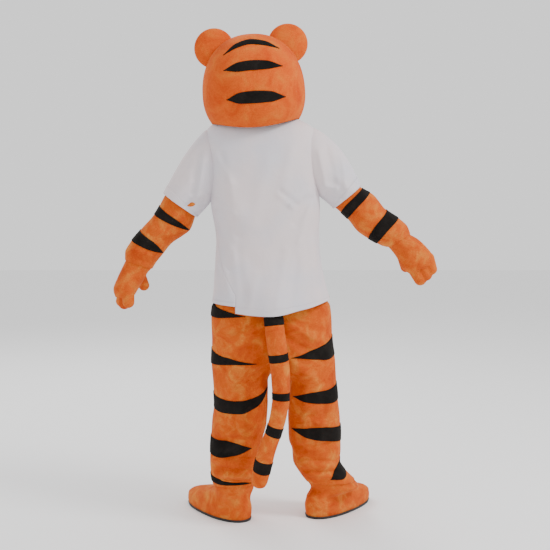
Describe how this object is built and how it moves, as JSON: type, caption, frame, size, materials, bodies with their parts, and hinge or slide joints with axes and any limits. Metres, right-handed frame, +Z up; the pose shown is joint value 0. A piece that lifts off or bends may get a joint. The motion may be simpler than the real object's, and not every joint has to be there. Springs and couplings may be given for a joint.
{
  "type": "mascot costume",
  "caption": "Worn tiger mascot costume, hollow and standing: rounded head, short-sleeved T-shirt, striped plush suit with a tail, gloves and shoe covers.",
  "frame": {"origin": "between the wearer's shoulders, where the costume is carried", "axes": "+Z up, the costume faces -Y, its own left side is +X"},
  "size_m": [1.2395, 0.533, 1.8812],
  "materials": {
    "orange_plush": "short-pile plush, matt",
    "black_plush": "short-pile plush, matt",
    "cream_plush": "short-pile plush, matt",
    "white_jersey": "smooth knit, matt",
    "white_felt": "felt, matt",
    "black_plastic": "glossy",
    "sole_rubber": "matt, fine grain"
  },
  "bodies": {
    "root": {"head_back": "orange_plush", "head_front": "orange_plush", "ear_left": "orange_plush", "ear_right": "orange_plush", "muzzle": "cream_plush", "nose": "black_plastic", "mouth": "black_plush", "eye_white_left": "white_felt", "eye_white_right": "white_felt", "pupil_left": "black_plastic", "pupil_right": "black_plastic", "head_stripe_top": "black_plush", "head_stripe_middle": "black_plush", "head_stripe_low": "black_plush", "brow_stripe_top": "black_plush", "brow_stripe_middle": "black_plush", "brow_stripe_low": "black_plush", "cheek_stripe_left_upper": "black_plush", "cheek_stripe_left_lower": "black_plush", "cheek_stripe_right_upper": "black_plush", "cheek_stripe_right_lower": "black_plush", "shirt_front": "white_jersey", "shirt_back": "white_jersey", "shirt_sleeve_left": "white_jersey", "shirt_sleeve_right": "white_jersey", "torso_front": "orange_plush", "torso_back": "orange_plush", "arm_left": "orange_plush", "arm_right": "orange_plush", "arm_stripe_left_1": "black_plush", "arm_stripe_left_2": "black_plush", "arm_stripe_right_1": "black_plush", "arm_stripe_right_2": "black_plush", "leg_left": "orange_plush", "leg_right": "orange_plush", "leg_stripe_left_1": "black_plush", "leg_stripe_left_2": "black_plush", "leg_stripe_left_3": "black_plush", "leg_stripe_left_4": "black_plush", "leg_stripe_left_5": "black_plush", "leg_stripe_right_1": "black_plush", "leg_stripe_right_2": "black_plush", "leg_stripe_right_3": "black_plush", "leg_stripe_right_4": "black_plush", "tail": "orange_plush", "tail_band_1": "black_plush", "tail_band_2": "black_plush", "tail_band_3": "black_plush", "tail_band_4": "black_plush", "tail_band_5": "black_plush", "glove_left": "orange_plush", "glove_right": "orange_plush", "foot_left": "orange_plush", "foot_right": "orange_plush", "sole_left": "sole_rubber", "sole_right": "sole_rubber"}
  },
  "joints": []
}
